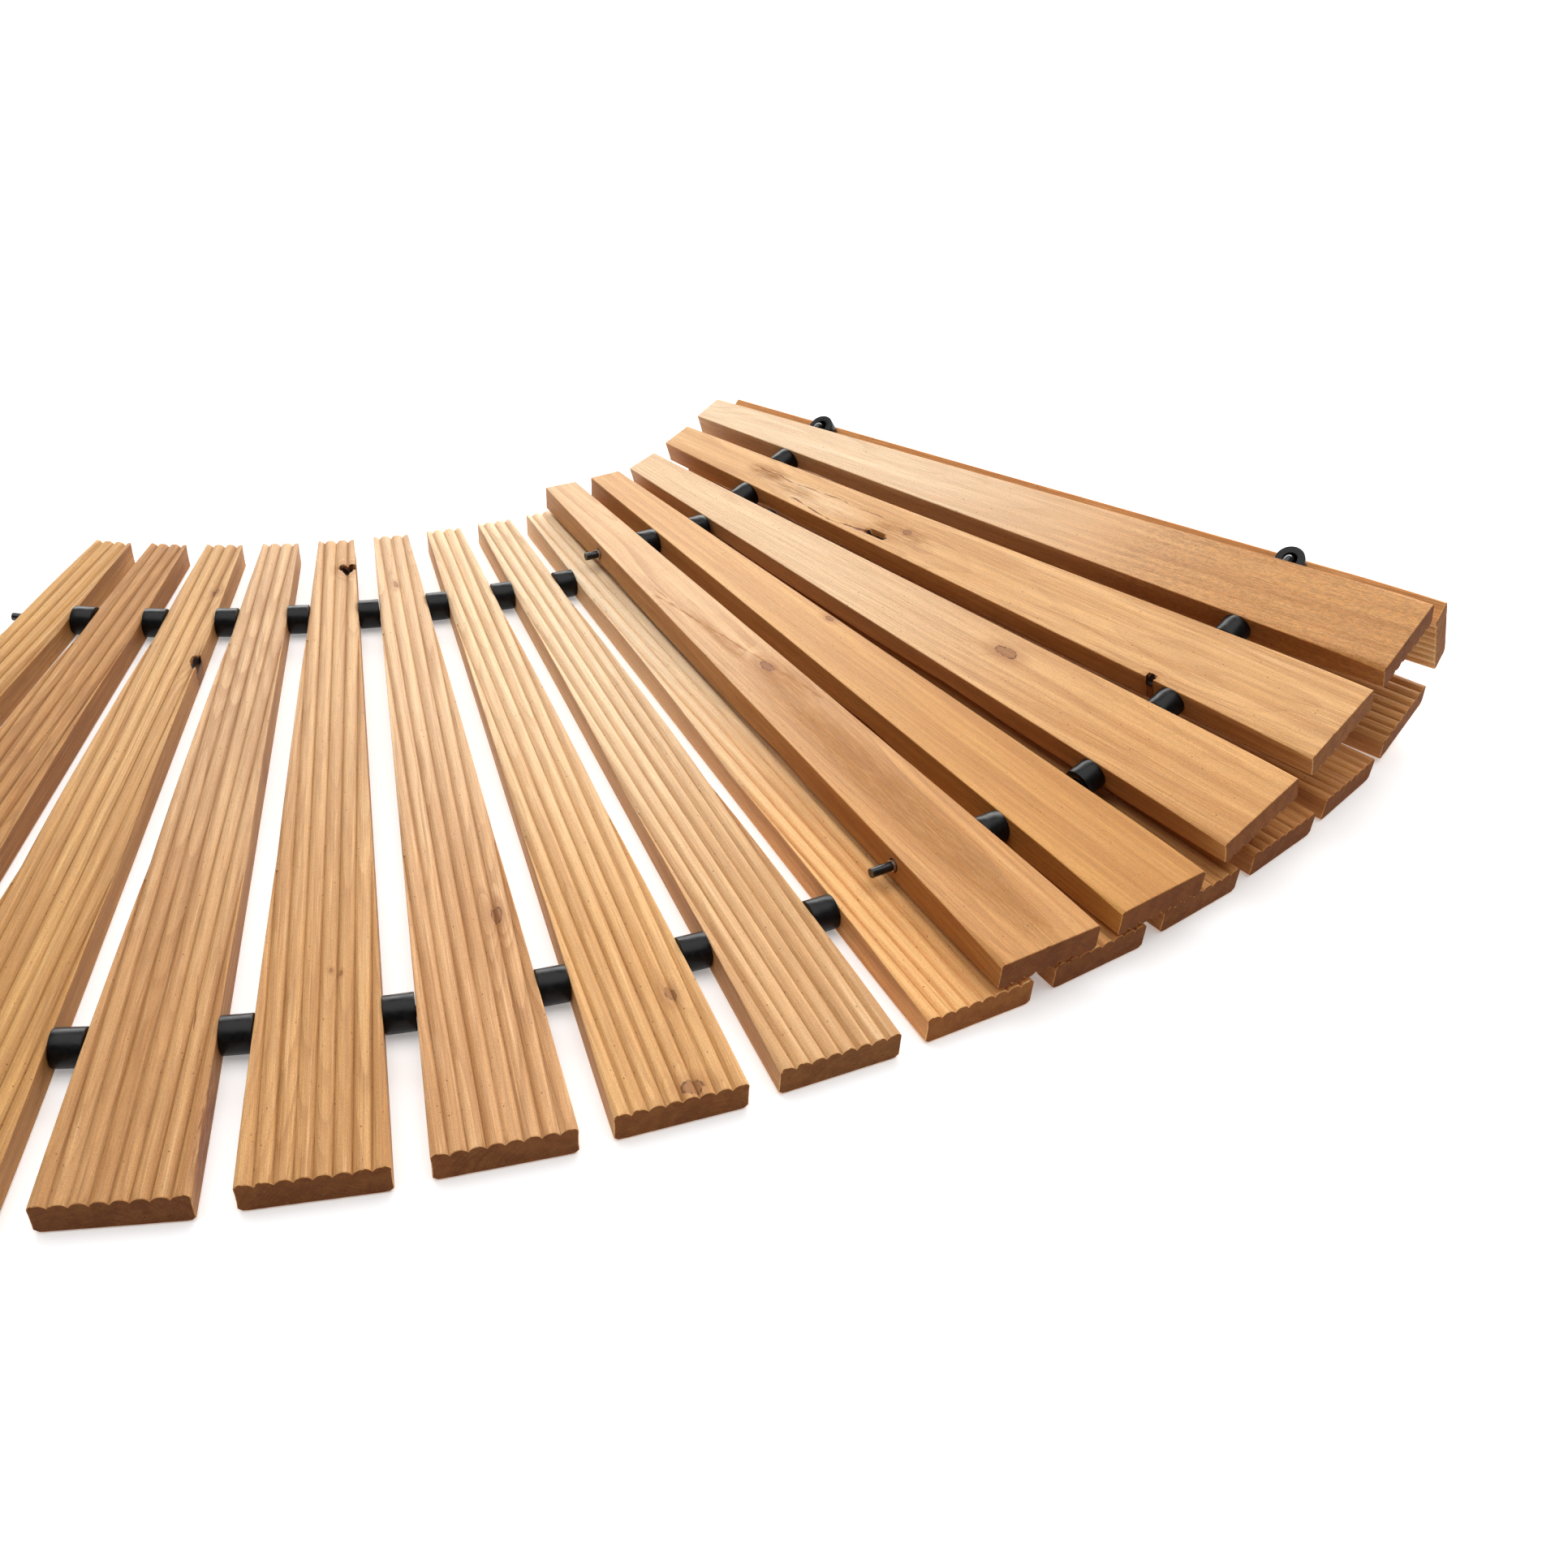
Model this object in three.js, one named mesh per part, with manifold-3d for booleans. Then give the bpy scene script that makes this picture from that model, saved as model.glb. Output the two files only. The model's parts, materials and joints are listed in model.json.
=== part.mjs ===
// A curved roll-out duckboard mat of tapered wooden slats, strung on two cords with
// tube spacers between the slats. The last slats are folded back over the others.
// Millimetres, +Z up. The mat lies on Z = 0.

import * as THREE from 'three';
import { mergeVertices } from 'three/addons/utils/BufferGeometryUtils.js';
import Module from 'manifold-3d';

const wasm = await Module();
wasm.setup();

// Slats. Each narrows evenly from its outer end to its inner end.
const SLAT_COUNT = 20;
const SLAT_LENGTH = 560;
const OUTER_WIDTH = 63;
const INNER_WIDTH = 24;
const THICKNESS = 16.5;
const BOARD_CORNER = 3;
const REED_COUNT = 8;
const REED_DEPTH = 2.4;
const REED_POINTS = [-0.6, 0, 0.6, 1];

// The fan. From one slat's centre to the next one's: forward, along the slat, and the turn.
const PITCH = 57.8;
const SLIP = 4.2;
const TURN = 4.25;

// Cords and what they run through.
const CORD_DIAMETER = 5.4;
const BORE_DIAMETER = 8;
const CORD_ROW = 186;
const TAIL_LENGTH = 14;

// Spacers stand on the floor beside the slats, so they sit off the cord's centre line.
const SPACER_DIAMETER = 18.6;
const SPACER_BORE = 9;
const SPACER_LENGTH = { inner: 11.3, outer: 12.9 };
const TOUCH_GAP = 0.3;

// The folded end. Gap N lies between slat N and slat N + 1. fold is how far the next slat
// turns up at the gap, and spread, slip and skew are what the slack cords add there. A row in
// after has its spacer against the slat after the gap, and the others against the one before.
const FIRST_FOLDED_GAP = 13;
const FOLDED_GAPS = [
  { fold: 13, spread: 3, slip: 0.5 },
  { fold: 114, spread: 22, slip: -2.5, skew: 0.7 },
  { fold: 71, spread: 8, slip: -2, skew: 0.3 },
  { fold: 0, spread: 0.2, slip: -4.2 },
  { fold: -2, spread: 0.5, slip: -4.2 },
  { fold: -16, spread: 2.6, slip: -5, skew: 0.3, after: ['inner'] },
  { fold: 0, spread: 0, slip: -3 },
];
const FLAT_GAP = { fold: 0, spread: 0, slip: 0, skew: 0, after: [] };

// At a sharp fold the spacers drop, and the cord goes round in a bend that keeps its first
// heading for a share of the way over and takes up the next slat's heading near the end.
const SHARP_FOLD = 45;
const SHARP_FOLD_LIFT = -1.6;
const BEND_LEAVING = 0.9;
const BEND_ENTERING = 0.1;
const BEND_STEPS = 6;

// The last two slats lie face down on the spacers of the layer below.
const FIRST_RESTING_SLAT = 19;
const RESTING_CENTRE = SPACER_DIAMETER + TOUCH_GAP + THICKNESS / 2;

const ROWS = { inner: CORD_ROW, outer: -CORD_ROW };
const WOOD = { color: '#c9935a', roughness: 0.62, metalness: 0 };
const SPACER_PLASTIC = { color: '#1c1d1e', roughness: 0.45, metalness: 0 };
const CORD_PLASTIC = { color: '#141415', roughness: 0.3, metalness: 0 };

function toSolid(geometry) {
  const bare = geometry.clone();
  bare.deleteAttribute('normal');
  bare.deleteAttribute('uv');
  const merged = mergeVertices(bare, 1e-4);
  return new wasm.Manifold(new wasm.Mesh({
    numProp: 3,
    vertProperties: new Float32Array(merged.attributes.position.array),
    triVerts: new Uint32Array(merged.index.array),
  }));
}

function toGeometry(solid) {
  const { vertProperties, triVerts } = solid.getMesh();
  const geometry = new THREE.BufferGeometry();
  geometry.setAttribute('position', new THREE.BufferAttribute(vertProperties, 3));
  geometry.setIndex(new THREE.BufferAttribute(triVerts, 1));
  geometry.computeVertexNormals();
  return geometry;
}

function widthAt(y) {
  return THREE.MathUtils.mapLinear(
    y, -SLAT_LENGTH / 2, SLAT_LENGTH / 2, OUTER_WIDTH, INNER_WIDTH,
  );
}

// How far a reed's round back lies below its crest, a share of its half width away from it.
function reedDrop(share) {
  const halfWidth = OUTER_WIDTH / REED_COUNT / 2;
  const radius = (halfWidth ** 2 + REED_DEPTH ** 2) / (2 * REED_DEPTH);
  return radius - Math.sqrt(radius ** 2 - (share * halfWidth) ** 2);
}

// The board's section: flat below with rounded corners, and reeded above.
function boardSection() {
  const half = OUTER_WIDTH / 2;
  const top = THICKNESS / 2;
  const reed = OUTER_WIDTH / REED_COUNT;
  const section = new THREE.Shape();
  section.moveTo(-half + BOARD_CORNER, -top);
  section.lineTo(half - BOARD_CORNER, -top);
  section.quadraticCurveTo(half, -top, half, -top + BOARD_CORNER);
  section.lineTo(half, top - REED_DEPTH);
  for (let n = 0; n < REED_COUNT; n += 1) {
    const crest = half - (n + 0.5) * reed;
    for (const share of REED_POINTS) {
      section.lineTo(crest - (share * reed) / 2, top - reedDrop(share));
    }
  }
  section.lineTo(-half, -top + BOARD_CORNER);
  section.quadraticCurveTo(-half, -top, -half + BOARD_CORNER, -top);
  return section;
}

// The wedge that the two taper cuts leave, seen from above and taller than the board.
function taperWedge() {
  const past = 10;
  const end = SLAT_LENGTH / 2 + past;
  const wedge = new THREE.Shape();
  wedge.moveTo(-widthAt(-end) / 2, -end);
  wedge.lineTo(widthAt(-end) / 2, -end);
  wedge.lineTo(widthAt(end) / 2, end);
  wedge.lineTo(-widthAt(end) / 2, end);
  const geometry = new THREE.ExtrudeGeometry(wedge, { depth: 2 * THICKNESS, bevelEnabled: false });
  return geometry.translate(0, 0, -THICKNESS);
}

// A slat in its own frame: X across, Y towards the inner end, Z towards the reeded face.
function slatGeometry() {
  const board = new THREE.ExtrudeGeometry(boardSection(), {
    depth: SLAT_LENGTH, bevelEnabled: false, curveSegments: 2,
  });
  board.rotateX(Math.PI / 2).translate(0, SLAT_LENGTH / 2, 0);
  let slat = toSolid(board).intersect(toSolid(taperWedge()));
  for (const y of Object.values(ROWS)) {
    const drill = new THREE.CylinderGeometry(
      BORE_DIAMETER / 2, BORE_DIAMETER / 2, 2 * OUTER_WIDTH, 12,
    );
    drill.rotateZ(Math.PI / 2).translate(0, y, 0);
    slat = slat.subtract(toSolid(drill));
  }
  return toGeometry(slat);
}

// A spacer in its own frame, standing along X from 0 to its length.
function spacerGeometry(length) {
  const outside = SPACER_DIAMETER / 2;
  const inside = SPACER_BORE / 2;
  const profile = [
    new THREE.Vector2(inside, 0),
    new THREE.Vector2(outside, 0),
    new THREE.Vector2(outside, length),
    new THREE.Vector2(inside, length),
    new THREE.Vector2(inside, 0),
  ];
  const turned = new THREE.LatheGeometry(profile, 12);
  return turned.rotateZ(-Math.PI / 2);
}

function shift(x, y, z) {
  return new THREE.Matrix4().makeTranslation(x, y, z);
}

function turnZ(degrees) {
  return new THREE.Matrix4().makeRotationZ(THREE.MathUtils.degToRad(degrees));
}

function foldUp(degrees) {
  return new THREE.Matrix4().makeRotationY(THREE.MathUtils.degToRad(-degrees));
}

function product(...matrices) {
  return matrices.reduce((all, next) => all.multiply(next), new THREE.Matrix4());
}

function gapAfter(slatNumber) {
  return { ...FLAT_GAP, ...FOLDED_GAPS[slatNumber - FIRST_FOLDED_GAP] };
}

// From a slat's centre to the middle of the gap after it, where the mat bends along Y.
function toHinge(gap) {
  return product(
    shift(PITCH / 2, SLIP / 2, 0), turnZ(TURN / 2), shift(gap.spread / 2, gap.slip / 2, 0),
    turnZ(gap.skew),
  );
}

function fromHinge(gap) {
  const back = new THREE.Vector3(PITCH / 2, SLIP / 2, 0).applyMatrix4(turnZ(-TURN));
  return product(
    shift(gap.spread / 2, gap.slip / 2, 0), turnZ(TURN / 2), shift(back.x, back.y, 0),
  );
}

// A slat that lies flat and face down, with the same place and heading in plan.
function restingPose(pose) {
  const lengthwise = new THREE.Vector3().setFromMatrixColumn(pose, 1).setZ(0).normalize();
  const down = new THREE.Vector3(0, 0, -1);
  const across = new THREE.Vector3().crossVectors(lengthwise, down);
  const place = new THREE.Vector3().setFromMatrixPosition(pose).setZ(RESTING_CENTRE);
  return new THREE.Matrix4().makeBasis(across, lengthwise, down).setPosition(place);
}

function layOut() {
  const poses = [shift(0, 0, THICKNESS / 2)];
  const hinges = [];
  for (let slat = 1; slat < SLAT_COUNT; slat += 1) {
    const gap = gapAfter(slat);
    const hinge = product(poses.at(-1), toHinge(gap));
    const next = product(hinge, foldUp(gap.fold), fromHinge(gap));
    hinges.push(hinge);
    poses.push(slat + 1 >= FIRST_RESTING_SLAT ? restingPose(next) : next);
  }
  return { poses, hinges };
}

// A point in one of a slat's cord bores, side being -1 where the cord enters and 1 where it leaves.
function mouth(pose, y, side, beyond = 0) {
  return new THREE.Vector3(side * (widthAt(y) / 2 + beyond), y, 0).applyMatrix4(pose);
}

function travel(pose) {
  return new THREE.Vector3().setFromMatrixColumn(pose, 0);
}

// The slat that a spacer stands against, the one it points to, and the side it stands on.
function seatOf(poses, gapNumber, row) {
  const [before, after] = poses.slice(gapNumber - 1, gapNumber + 1);
  return gapAfter(gapNumber).after.includes(row) ? [after, before, -1] : [before, after, 1];
}

// The cord's way over a gap: straight from bore to bore, but where the mat turns down it goes
// straight on through the spacer first, and at a sharp fold it goes round in one easy bend.
function overGap(poses, gapNumber, row) {
  const { fold } = gapAfter(gapNumber);
  const [seat, far, side] = seatOf(poses, gapNumber, row);
  const y = ROWS[row];
  const start = mouth(seat, y, side, SPACER_LENGTH[row] + 2 * TOUCH_GAP);
  if (fold < 0) return [start];
  if (fold <= SHARP_FOLD) return [];
  const end = mouth(far, y, -side);
  const span = start.distanceTo(end);
  const bend = new THREE.CubicBezierCurve3(
    start,
    start.clone().addScaledVector(travel(seat), BEND_LEAVING * span),
    end.clone().addScaledVector(travel(far), -BEND_ENTERING * span),
    end,
  );
  return bend.getPoints(BEND_STEPS).slice(0, -1);
}

// A curve whose steps fall on its own points, so that the cord stays straight in each bore.
class CordRoute extends THREE.CatmullRomCurve3 {
  getUtoTmapping(u) {
    return u;
  }
}

function cordGeometry(poses, row) {
  const y = ROWS[row];
  const points = [mouth(poses[0], y, -1, TAIL_LENGTH)];
  poses.forEach((pose, n) => {
    points.push(mouth(pose, y, -1), mouth(pose, y, 1));
    if (n < poses.length - 1) points.push(...overGap(poses, n + 1, row));
  });
  points.push(mouth(poses.at(-1), y, 1, TAIL_LENGTH));
  const section = new THREE.Shape();
  section.absarc(0, 0, CORD_DIAMETER / 2, 0, 2 * Math.PI);
  return new THREE.ExtrudeGeometry(section, {
    extrudePath: new CordRoute(points, false, 'centripetal'),
    steps: points.length - 1,
    curveSegments: 4,
    bevelEnabled: false,
  });
}

// A spacer stands square on the side of its slat, centred on the cord's way to the next one.
function spacerPose(poses, gapNumber, row) {
  const y = ROWS[row];
  const length = SPACER_LENGTH[row];
  const { fold } = gapAfter(gapNumber);
  const [seat, far, side] = seatOf(poses, gapNumber, row);
  const near = mouth(seat, y, side);
  const target = mouth(far, y, -side);
  const share = (TOUCH_GAP + length / 2) / near.distanceTo(target);
  const drift = target.applyMatrix4(seat.clone().invert()).y - y;
  const sideways = fold > SHARP_FOLD ? 0 : drift * share;
  const lift = fold > SHARP_FOLD ? SHARP_FOLD_LIFT : (SPACER_DIAMETER - THICKNESS) / 2;
  const draft = Math.atan((OUTER_WIDTH - INNER_WIDTH) / 2 / SLAT_LENGTH);
  const start = widthAt(y + sideways) / 2 + TOUCH_GAP + (side < 0 ? length : 0);
  return product(
    seat,
    shift(side * start, y + sideways, lift),
    turnZ(side * THREE.MathUtils.radToDeg(draft)),
  );
}

function addMesh(group, name, geometry, look, pose) {
  const mesh = new THREE.Mesh(geometry, new THREE.MeshStandardMaterial(look));
  mesh.name = name;
  mesh.applyMatrix4(pose);
  group.add(mesh);
}

function numbered(name, n) {
  return `${name}_${String(n).padStart(2, '0')}`;
}

const { poses, hinges } = layOut();
const mat = new THREE.Group();
const slat = slatGeometry();
const spacers = {
  inner: spacerGeometry(SPACER_LENGTH.inner),
  outer: spacerGeometry(SPACER_LENGTH.outer),
};

poses.forEach((pose, n) => {
  addMesh(mat, numbered('slat', n + 1), slat, WOOD, pose);
  for (const row of n < SLAT_COUNT - 1 ? Object.keys(ROWS) : []) {
    const name = numbered(`spacer_${row}`, n + 1);
    addMesh(mat, name, spacers[row], SPACER_PLASTIC, spacerPose(poses, n + 1, row));
  }
});
for (const row of Object.keys(ROWS)) {
  const place = new THREE.Matrix4();
  addMesh(mat, `cord_${row}`, cordGeometry(poses, row), CORD_PLASTIC, place);
}

// The origin is under the middle of the mat's outline.
mat.updateMatrixWorld(true);
const outline = new THREE.Box3().setFromObject(mat, true);
const middle = outline.getCenter(new THREE.Vector3()).setZ(0);
mat.position.sub(middle);

// Each gap's bending axis, for the joints.
mat.userData.hinges = hinges.map((hinge) => ({
  point: new THREE.Vector3().setFromMatrixPosition(hinge).sub(middle).toArray(),
  axis: new THREE.Vector3().setFromMatrixColumn(hinge, 1).negate().toArray(),
}));

export default mat;
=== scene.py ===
import json
import math

import bmesh
import bpy
import numpy as np
from mathutils import Matrix, Vector, noise


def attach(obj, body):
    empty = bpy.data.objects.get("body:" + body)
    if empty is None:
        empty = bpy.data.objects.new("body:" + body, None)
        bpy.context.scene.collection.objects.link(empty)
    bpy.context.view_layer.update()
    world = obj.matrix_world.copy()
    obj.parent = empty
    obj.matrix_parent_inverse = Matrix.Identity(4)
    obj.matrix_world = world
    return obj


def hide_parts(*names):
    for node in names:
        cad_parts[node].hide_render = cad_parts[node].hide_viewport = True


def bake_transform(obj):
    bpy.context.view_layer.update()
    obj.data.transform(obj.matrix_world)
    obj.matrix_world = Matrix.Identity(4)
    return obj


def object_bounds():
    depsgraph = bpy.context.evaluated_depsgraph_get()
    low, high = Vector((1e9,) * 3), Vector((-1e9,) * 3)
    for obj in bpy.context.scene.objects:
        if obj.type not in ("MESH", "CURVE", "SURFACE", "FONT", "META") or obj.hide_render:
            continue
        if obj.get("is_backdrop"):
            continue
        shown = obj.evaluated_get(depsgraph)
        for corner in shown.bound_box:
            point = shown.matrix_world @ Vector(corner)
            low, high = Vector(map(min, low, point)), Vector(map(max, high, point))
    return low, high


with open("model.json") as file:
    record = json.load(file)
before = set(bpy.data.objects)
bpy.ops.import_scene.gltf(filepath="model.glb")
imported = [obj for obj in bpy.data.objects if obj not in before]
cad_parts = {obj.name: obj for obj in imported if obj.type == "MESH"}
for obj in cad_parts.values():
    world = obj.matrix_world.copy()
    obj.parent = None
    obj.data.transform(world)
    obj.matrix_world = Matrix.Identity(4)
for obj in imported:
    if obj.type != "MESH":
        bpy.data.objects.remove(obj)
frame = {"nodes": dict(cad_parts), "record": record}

cad_low, cad_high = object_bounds()
nodes = frame["nodes"]
bodies = frame["record"]["behaviour"]["bodies"]
body_of_node = {node: body for body, members in bodies.items() for node in members}
scene = bpy.context.scene

# Sizes are in millimetres until a mesh is made.
MM = 0.001
SLATS = 20
REED_COUNT = 8
REED_DEPTH = 2.4
REED_FULLNESS = 2.8
COLUMNS_PER_REED = 8
BOARD_CORNER = 3.0
EASED_EDGE = 0.35
SHARP_WOOD_ANGLE = 32
BORE_RADIUS = 4.0
BORE_SIDES = 28
STATIONS = 112
CLOSEST_STATIONS = 0.5
PIT_STATION_STEP = 0.8
PIT_DEPTH = 5.0
TOP_UNEVEN = 0.22
UNDER_UNEVEN = 0.12
SIDE_WAVER = 0.25
SIDE_HOLLOW = 0.12
END_RAGGED = 0.18
CORD_ROW = {"inner": 186.0, "outer": -186.0}
CORD_RADIUS = 2.7
CORD_SIDES = 16
SHARP_CORD_ANGLE = 50
TAIL_LENGTH = {"inner": 10.0, "outer": 14.0}
CRIMP_WALL = 0.55
CRIMP_SIDES = 20
CRIMP_SPAN = (-1.2, 1.4)
TUBE_BORE = 4.5
TUBE_RIM = 0.3
TUBE_SIDES = 56
TUBE_CUT_UNEVEN = 0.06
SPACER_REACH = 1.65
SHARP_FOLD_GAPS = (14, 15)
RIGID_TUBE_GAPS = (13, 14, 15, 18)
RAISED_GAP = 15
RAISED_TUBE = 2.4
RAISED_CORD = 1.5
FIRST_TURNED_SLAT = 16

# Limits for reading the frame: the smallest facet, how closely two facets of one face agree, how
# nearly square an end stands, and how near to the end (in metres) a point counts as on it.
SMALLEST_FACET = 1e-10
SAME_FACING = 0.99995
NEARLY_SQUARE = 1e-3
ON_THE_END = 1e-4
# How squarely a slat's face has to look along the slat, or across it, to count as end or side.
END_FACING = 0.8
SIDE_FACING = 0.9


# ---------------------------------------------------------------- reading the frame
def facets(node):
    """The node's flat faces as (area, normal, centre), largest first."""
    mesh = nodes[node].data
    mesh.calc_loop_triangles()
    groups = []
    for triangle in mesh.loop_triangles:
        a, b, c = (mesh.vertices[v].co for v in triangle.vertices)
        twice = (b - a).cross(c - a)
        area = twice.length / 2
        if area < SMALLEST_FACET:
            continue
        normal = twice.normalized()
        centre = (a + b + c) / 3
        for group in groups:
            if group[1].dot(normal) > SAME_FACING:
                group[0] += area
                group[2] += centre * area
                break
        else:
            groups.append([area, normal, centre * area])
    groups.sort(key=lambda group: -group[0])
    return [(area, normal, moment / area) for area, normal, moment in groups]


def extent(node, axis):
    """The node's lowest and highest reach along a direction, with the points themselves."""
    points = [vertex.co for vertex in nodes[node].data.vertices]
    reach = [point.dot(axis) for point in points]
    return min(reach), max(reach), points, reach


def frame_of(x, y, z, origin):
    columns = Matrix((x, y, z)).transposed().to_4x4()
    columns.translation = origin
    return columns


def slat_frame(node):
    """The slat's own frame, thickness, and widths at its wide and narrow ends.

    X goes across the slat, Y to the narrow end and Z to the reeded face.
    """
    faces = facets(node)
    up = -faces[0][1]
    ends = [face for face in faces if abs(face[1].dot(up)) < NEARLY_SQUARE]
    points = [vertex.co for vertex in nodes[node].data.vertices]
    middle = sum(points, Vector()) / len(points)
    far = max(points, key=lambda point: (point - middle).length)
    rough = (far - middle).normalized()
    lengthwise = max(ends, key=lambda face: abs(face[1].dot(rough)))[1]
    widths = []
    for direction in (lengthwise, -lengthwise):
        across = direction.cross(up)
        _, high, points, reach = extent(node, direction)
        at_end = [point.dot(across) for point, r in zip(points, reach) if r > high - ON_THE_END]
        widths.append(max(at_end) - min(at_end))
    y = lengthwise if widths[0] < widths[1] else -lengthwise
    x = y.cross(up)
    origin = Vector()
    for axis in (x, y, up):
        low, high, _, _ = extent(node, axis)
        origin += axis * (low + high) / 2
    thickness = high - low
    return frame_of(x, y, up, origin), thickness, max(widths), min(widths)


def spacer_frame(node):
    """The tube's own frame, X along it from its middle, with its length and outer radius."""
    rings = facets(node)[:2]
    axis = rings[0][1]
    middle = (rings[0][2] + rings[1][2]) / 2
    length = abs((rings[0][2] - rings[1][2]).dot(axis))
    side = Vector((0, 0, 1)).cross(axis).normalized()
    radius = 0.0
    for vertex in nodes[node].data.vertices:
        out = vertex.co - middle
        radius = max(radius, (out - axis * out.dot(axis)).length)
    return frame_of(axis, side, axis.cross(side), middle), length, radius


def numbered(name, n):
    return f"{name}_{n:02d}"


slat_frames = []
for n in range(1, SLATS + 1):
    pose, thickness, outer_width, inner_width = slat_frame(numbered("slat", n))
    slat_frames.append(pose)
low, high, _, _ = extent("slat_01", slat_frames[0].col[1].to_3d())
LENGTH = (high - low) / MM
THICKNESS = thickness / MM
OUTER_WIDTH = outer_width / MM
INNER_WIDTH = inner_width / MM
PITCH_OF_REEDS = OUTER_WIDTH / REED_COUNT
TOP = THICKNESS / 2


def half_width(y):
    return OUTER_WIDTH / 2 + (INNER_WIDTH - OUTER_WIDTH) / 2 * (y / LENGTH + 0.5)


# ---------------------------------------------------------------- meshes
def link(name, mesh, material, place=Matrix.Identity(4)):
    """The mesh as an object in the scene, in one material."""
    obj = bpy.data.objects.new(name, mesh)
    scene.collection.objects.link(obj)
    obj.matrix_world = place
    mesh.materials.clear()
    mesh.materials.append(material)
    return obj


def closed_mesh(name, verts, faces):
    """A mesh from points in millimetres, with its faces turned outward."""
    mesh = bpy.data.meshes.new(name)
    mesh.from_pydata([(x * MM, y * MM, z * MM) for x, y, z in verts], [], faces)
    solid = bmesh.new()
    solid.from_mesh(mesh)
    bmesh.ops.recalc_face_normals(solid, faces=solid.faces)
    solid.to_mesh(mesh)
    solid.free()
    return mesh


def reed_dip(x):
    """How far the reeded face lies below its ridges."""
    across = 2 * ((x / PITCH_OF_REEDS) % 1.0) - 1
    return REED_DEPTH * abs(across) ** REED_FULLNESS


def corner_rise(x):
    """How far the underside's rounded corner lies above its flat."""
    past = abs(x) - (OUTER_WIDTH / 2 - BOARD_CORNER)
    if past <= 0:
        return 0.0
    return BOARD_CORNER - math.sqrt(max(BOARD_CORNER**2 - past**2, 0.0))


def stations(pits):
    """Places along the slat where it is cut across, closer together beside a pit."""
    ends = LENGTH / 2 - EASED_EDGE
    ys = list(np.linspace(-ends, ends, STATIONS))
    for pit in pits:
        reach = pit["ry"] * 1.4
        ys += list(np.arange(pit["y"] - reach, pit["y"] + reach, PIT_STATION_STEP))
    ys = sorted(y for y in ys if -ends <= y <= ends)
    kept = [ys[0]]
    for y in ys[1:-1]:
        if y - kept[-1] > CLOSEST_STATIONS and ends - y > CLOSEST_STATIONS:
            kept.append(y)
    return kept + [ends]


def pit_depth(x, y, pits):
    """How deep the knot holes go here, with a wavering rim."""
    depth = 0.0
    for pit in pits:
        away = math.hypot((x - pit["x"]) / pit["rx"], (y - pit["y"]) / pit["ry"])
        away += 0.25 * noise.noise(Vector((x * 0.3, y * 0.3, pit["x"])))
        depth = max(depth, PIT_DEPTH * min(max((1.1 - away) / 0.25, 0.0), 1.0))
    return depth


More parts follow.
